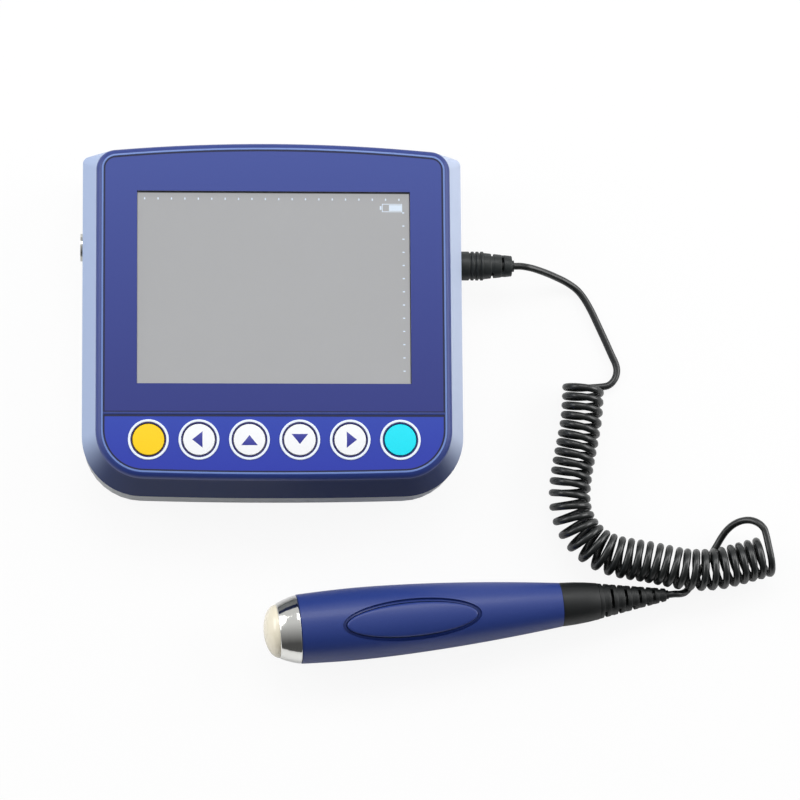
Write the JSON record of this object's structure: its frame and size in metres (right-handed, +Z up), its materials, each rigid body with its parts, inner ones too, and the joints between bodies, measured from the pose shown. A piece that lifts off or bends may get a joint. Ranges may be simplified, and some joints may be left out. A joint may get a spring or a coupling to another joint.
{
  "type": "handheld ultrasound scanner",
  "caption": "Handheld ultrasound scanner: flat cased unit with a screen and round keys, and a tapered sector probe on a curly cord.",
  "frame": {"origin": "on the table plane under the middle of the scanner, in the face of its battery cover", "axes": "+X to the scanner's right with the plug on that side, +Y from the keys towards the screen's top, +Z up out of the screen"},
  "size_m": [0.2909, 0.2142, 0.0434],
  "materials": {
    "case_blue": "satin gloss",
    "case_grey": "fine texture",
    "seal_rubber": "matte",
    "panel_blue": "printed, satin",
    "keypad_blue": "printed, satin",
    "lens_clear": "clear",
    "foam": "foam",
    "screen_frame": "screen in a pressed frame",
    "flex_amber": "film",
    "ring_white": "printed",
    "key_yellow": "satin",
    "key_white": "satin",
    "key_cyan": "satin",
    "dome_steel": "sprung",
    "circuit_green": "solder mask",
    "brass": "turned",
    "battery_wrap": "shrink film",
    "screw_steel": "zinc plated",
    "socket_nickel": "nickel plated",
    "socket_black": "moulded",
    "cord_black": "satin",
    "probe_blue": "satin",
    "bulkhead_grey": "moulded",
    "crystal_tan": "matching layer",
    "magnet_nickel": "nickel plated",
    "coil_copper": "wound wire",
    "chrome": "polished",
    "dome_cream": "polished"
  },
  "bodies": {
    "scanner": {"front_shell": "case_blue", "rear_case": "case_grey", "case_seal": "seal_rubber", "display_panel": "panel_blue", "display_lens": "lens_clear", "lcd_gasket": "foam", "lcd_module": "screen_frame", "lcd_cable": "flex_amber", "keypad_panel": "keypad_blue", "key_rings": "ring_white", "key_domes": "dome_steel", "key_board": "circuit_green", "main_board": "circuit_green", "board_standoffs": "brass", "battery_pack": "battery_wrap", "battery_cover": "case_grey", "cover_screws": "screw_steel", "case_screws": "screw_steel", "grip_pads": "seal_rubber", "charge_socket": "socket_nickel", "socket_nut": "socket_nickel", "probe_socket": "socket_black", "plug_body": "cord_black", "plug_relief": "cord_black", "cord_lead": "cord_black", "curly_upper": "cord_black"},
    "probe": {"curly_lower": "cord_black", "cord_tail": "cord_black", "probe_handle": "probe_blue", "probe_boot": "cord_black", "probe_wire": "cord_black", "cable_clamp": "socket_black", "bulkhead": "bulkhead_grey", "scan_yoke": "screw_steel", "pivot_pin": "screw_steel", "drive_coil": "coil_copper", "head_ring": "chrome", "dome_seal": "seal_rubber", "probe_dome": "dome_cream", "freeze_board": "circuit_green"},
    "transducer": {"transducer_carrier": "socket_black", "transducer_disc": "crystal_tan", "drive_magnet": "magnet_nickel"},
    "freeze": {"freeze_button": "probe_blue"},
    "power_key": {"key_power": "key_yellow"},
    "left_key": {"key_left": "key_white"},
    "up_key": {"key_up": "key_white"},
    "down_key": {"key_down": "key_white"},
    "right_key": {"key_right": "key_white"},
    "set_key": {"key_set": "key_cyan"}
  },
  "joints": [
    {"name": "probe_pull", "type": "slide", "parent": "scanner", "child": "probe", "axis": [0, -1, 0], "range_m": [0, 0.15], "stiffness_N_per_m": 3, "deforming": ["curly_upper"]},
    {"name": "transducer_swing", "type": "hinge", "parent": "probe", "child": "transducer", "pos_m": [0.00722, -0.12463, 0.01676], "axis": [0.0455, 0.0044, 0.999], "range_deg": [-35, 35], "stiffness_Nm_per_rad": 0.001},
    {"name": "freeze_press", "type": "slide", "parent": "probe", "child": "freeze", "axis": [-0.0569, 0.117, -0.9915], "range_m": [0, 0.0008], "stiffness_N_per_m": 400},
    {"name": "power_press", "type": "slide", "parent": "scanner", "child": "power_key", "axis": [0, 0, -1], "range_m": [0, 0.0007], "stiffness_N_per_m": 400},
    {"name": "left_press", "type": "slide", "parent": "scanner", "child": "left_key", "axis": [0, 0, -1], "range_m": [0, 0.0007], "stiffness_N_per_m": 400},
    {"name": "up_press", "type": "slide", "parent": "scanner", "child": "up_key", "axis": [0, 0, -1], "range_m": [0, 0.0007], "stiffness_N_per_m": 400},
    {"name": "down_press", "type": "slide", "parent": "scanner", "child": "down_key", "axis": [0, 0, -1], "range_m": [0, 0.0007], "stiffness_N_per_m": 400},
    {"name": "right_press", "type": "slide", "parent": "scanner", "child": "right_key", "axis": [0, 0, -1], "range_m": [0, 0.0007], "stiffness_N_per_m": 400},
    {"name": "set_press", "type": "slide", "parent": "scanner", "child": "set_key", "axis": [0, 0, -1], "range_m": [0, 0.0007], "stiffness_N_per_m": 400}
  ]
}
